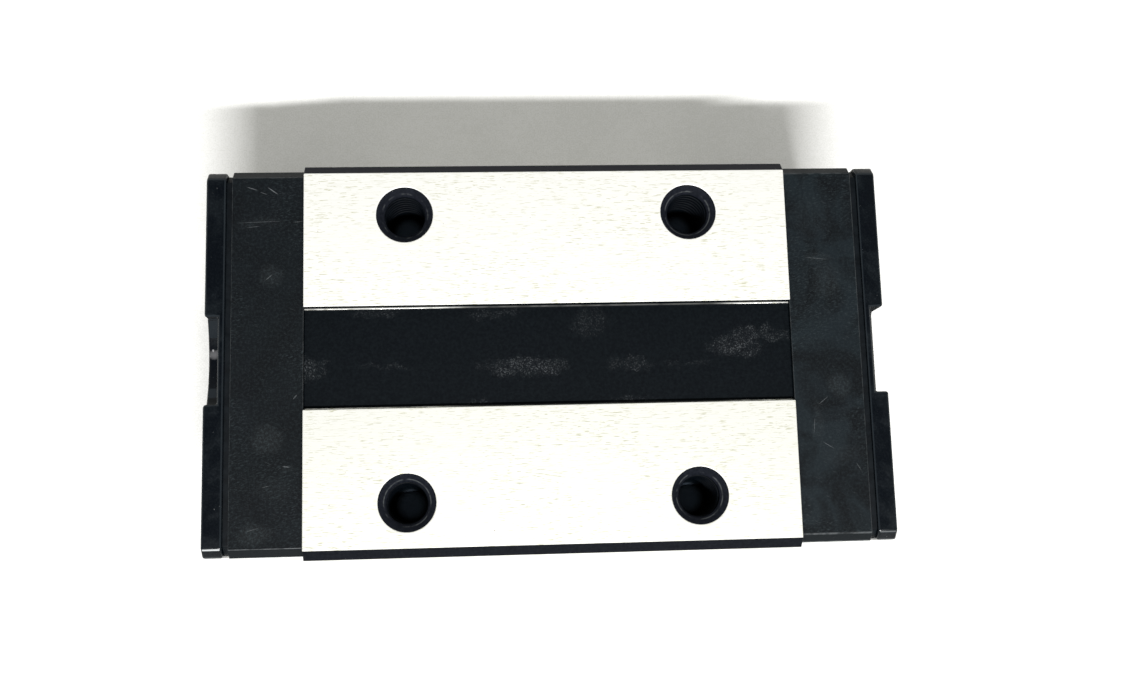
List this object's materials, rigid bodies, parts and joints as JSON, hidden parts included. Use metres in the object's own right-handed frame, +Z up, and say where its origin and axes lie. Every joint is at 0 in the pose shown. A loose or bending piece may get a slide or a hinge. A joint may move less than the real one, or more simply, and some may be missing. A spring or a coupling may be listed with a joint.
{
  "type": "linear guide carriage",
  "caption": "Square linear-guide carriage: ground steel block with black end caps, rubber end and bottom seals, and recirculating ball circuits around a rail way open beneath.",
  "frame": {"origin": "centre of the bounding box in X and Y, at the feet of the block's legs in Z", "axes": "+X along the rail, towards the end whose seal has the flat notch and whose grease port is open; +Y across the carriage, towards the datum side; +Z up, out of the ground mounting face"},
  "size_m": [0.083, 0.048, 0.0345],
  "materials": {
    "ground_steel": "surface-ground steel on the mounting strips and sides, black as-hardened skin in the channel, on the chamfers and in the holes",
    "cap_plastic": "charcoal black moulded engineering plastic, fine matt grain",
    "guide_plastic": "natural off-white moulded acetal",
    "plate_steel": "blackened steel sheet",
    "seal_rubber": "smooth black nitrile rubber, slightly glossy",
    "black_screws": "black oxide on steel screws",
    "strip_steel": "stainless steel strip",
    "ball_steel": "polished bearing steel"
  },
  "bodies": {
    "carriage": {"slider_block": "ground_steel", "front_end_cap": "cap_plastic", "rear_end_cap": "cap_plastic", "front_return_guides": "guide_plastic", "rear_return_guides": "guide_plastic", "front_seal_plate": "plate_steel", "rear_seal_plate": "plate_steel", "front_seal_lip": "seal_rubber", "rear_seal_lip": "seal_rubber", "front_cap_screws": "black_screws", "rear_cap_screws": "black_screws", "rear_grease_plug": "black_screws", "left_bottom_seal_strip": "strip_steel", "right_bottom_seal_strip": "strip_steel", "left_bottom_seal_lip": "seal_rubber", "right_bottom_seal_lip": "seal_rubber", "ceiling_ball_retainer": "cap_plastic", "left_middle_retainer": "cap_plastic", "right_middle_retainer": "cap_plastic", "left_lower_retainer": "cap_plastic", "right_lower_retainer": "cap_plastic", "upper_left_return_tube": "guide_plastic", "upper_right_return_tube": "guide_plastic", "lower_left_return_tube": "guide_plastic", "lower_right_return_tube": "guide_plastic"},
    "upper_left_load_balls": {"upper_left_load_balls": "ball_steel"},
    "upper_left_return_balls": {"upper_left_return_balls": "ball_steel"},
    "upper_left_front_turn_balls": {"upper_left_front_turn_balls": "ball_steel"},
    "upper_left_rear_turn_balls": {"upper_left_rear_turn_balls": "ball_steel"},
    "upper_right_load_balls": {"upper_right_load_balls": "ball_steel"},
    "upper_right_return_balls": {"upper_right_return_balls": "ball_steel"},
    "upper_right_front_turn_balls": {"upper_right_front_turn_balls": "ball_steel"},
    "upper_right_rear_turn_balls": {"upper_right_rear_turn_balls": "ball_steel"},
    "lower_left_load_balls": {"lower_left_load_balls": "ball_steel"},
    "lower_left_return_balls": {"lower_left_return_balls": "ball_steel"},
    "lower_left_front_turn_balls": {"lower_left_front_turn_balls": "ball_steel"},
    "lower_left_rear_turn_balls": {"lower_left_rear_turn_balls": "ball_steel"},
    "lower_right_load_balls": {"lower_right_load_balls": "ball_steel"},
    "lower_right_return_balls": {"lower_right_return_balls": "ball_steel"},
    "lower_right_front_turn_balls": {"lower_right_front_turn_balls": "ball_steel"},
    "lower_right_rear_turn_balls": {"lower_right_rear_turn_balls": "ball_steel"}
  },
  "joints": [
    {"name": "upper_left_load_slide", "type": "slide", "parent": "carriage", "child": "upper_left_load_balls", "axis": [1, 0, 0], "range_m": [-0.00213, 0.00213]},
    {"name": "upper_left_return_slide", "type": "slide", "parent": "carriage", "child": "upper_left_return_balls", "axis": [1, 0, 0], "range_m": [-0.00213, 0.00213]},
    {"name": "upper_left_front_turn", "type": "hinge", "parent": "carriage", "child": "upper_left_front_turn_balls", "pos_m": [0.02975, 0.01542, 0.01804], "axis": [0, -0.454, 0.891], "range_deg": [-30.01, 30.01]},
    {"name": "upper_left_rear_turn", "type": "hinge", "parent": "carriage", "child": "upper_left_rear_turn_balls", "pos_m": [-0.02975, 0.01542, 0.01804], "axis": [0, -0.454, 0.891], "range_deg": [-30.01, 30.01]},
    {"name": "upper_right_load_slide", "type": "slide", "parent": "carriage", "child": "upper_right_load_balls", "axis": [1, 0, 0], "range_m": [-0.00213, 0.00213]},
    {"name": "upper_right_return_slide", "type": "slide", "parent": "carriage", "child": "upper_right_return_balls", "axis": [1, 0, 0], "range_m": [-0.00213, 0.00213]},
    {"name": "upper_right_front_turn", "type": "hinge", "parent": "carriage", "child": "upper_right_front_turn_balls", "pos_m": [0.02975, -0.01542, 0.01804], "axis": [0, -0.454, -0.891], "range_deg": [-30.01, 30.01]},
    {"name": "upper_right_rear_turn", "type": "hinge", "parent": "carriage", "child": "upper_right_rear_turn_balls", "pos_m": [-0.02975, -0.01542, 0.01804], "axis": [0, -0.454, -0.891], "range_deg": [-30.01, 30.01]},
    {"name": "lower_left_load_slide", "type": "slide", "parent": "carriage", "child": "lower_left_load_balls", "axis": [1, 0, 0], "range_m": [-0.00213, 0.00213]},
    {"name": "lower_left_return_slide", "type": "slide", "parent": "carriage", "child": "lower_left_return_balls", "axis": [1, 0, 0], "range_m": [-0.00213, 0.00213]},
    {"name": "lower_left_front_turn", "type": "hinge", "parent": "carriage", "child": "lower_left_front_turn_balls", "pos_m": [0.02975, 0.01542, 0.00696], "axis": [0, 0.454, 0.891], "range_deg": [-30.01, 30.01]},
    {"name": "lower_left_rear_turn", "type": "hinge", "parent": "carriage", "child": "lower_left_rear_turn_balls", "pos_m": [-0.02975, 0.01542, 0.00696], "axis": [0, 0.454, 0.891], "range_deg": [-30.01, 30.01]},
    {"name": "lower_right_load_slide", "type": "slide", "parent": "carriage", "child": "lower_right_load_balls", "axis": [1, 0, 0], "range_m": [-0.00213, 0.00213]},
    {"name": "lower_right_return_slide", "type": "slide", "parent": "carriage", "child": "lower_right_return_balls", "axis": [1, 0, 0], "range_m": [-0.00213, 0.00213]},
    {"name": "lower_right_front_turn", "type": "hinge", "parent": "carriage", "child": "lower_right_front_turn_balls", "pos_m": [0.02975, -0.01542, 0.00696], "axis": [0, 0.454, -0.891], "range_deg": [-30.01, 30.01]},
    {"name": "lower_right_rear_turn", "type": "hinge", "parent": "carriage", "child": "lower_right_rear_turn_balls", "pos_m": [-0.02975, -0.01542, 0.00696], "axis": [0, 0.454, -0.891], "range_deg": [-30.01, 30.01]}
  ],
  "couplings": [
    {"joint": "upper_left_return_slide", "follows": "upper_left_load_slide", "ratio": -1},
    {"joint": "upper_left_front_turn", "follows": "upper_left_load_slide", "rad_per_m": 246.4},
    {"joint": "upper_left_rear_turn", "follows": "upper_left_load_slide", "rad_per_m": 246.4},
    {"joint": "upper_right_return_slide", "follows": "upper_right_load_slide", "ratio": -1},
    {"joint": "upper_right_front_turn", "follows": "upper_right_load_slide", "rad_per_m": 246.4},
    {"joint": "upper_right_rear_turn", "follows": "upper_right_load_slide", "rad_per_m": 246.4},
    {"joint": "lower_left_return_slide", "follows": "lower_left_load_slide", "ratio": -1},
    {"joint": "lower_left_front_turn", "follows": "lower_left_load_slide", "rad_per_m": 246.4},
    {"joint": "lower_left_rear_turn", "follows": "lower_left_load_slide", "rad_per_m": 246.4},
    {"joint": "lower_right_return_slide", "follows": "lower_right_load_slide", "ratio": -1},
    {"joint": "lower_right_front_turn", "follows": "lower_right_load_slide", "rad_per_m": 246.4},
    {"joint": "lower_right_rear_turn", "follows": "lower_right_load_slide", "rad_per_m": 246.4}
  ]
}
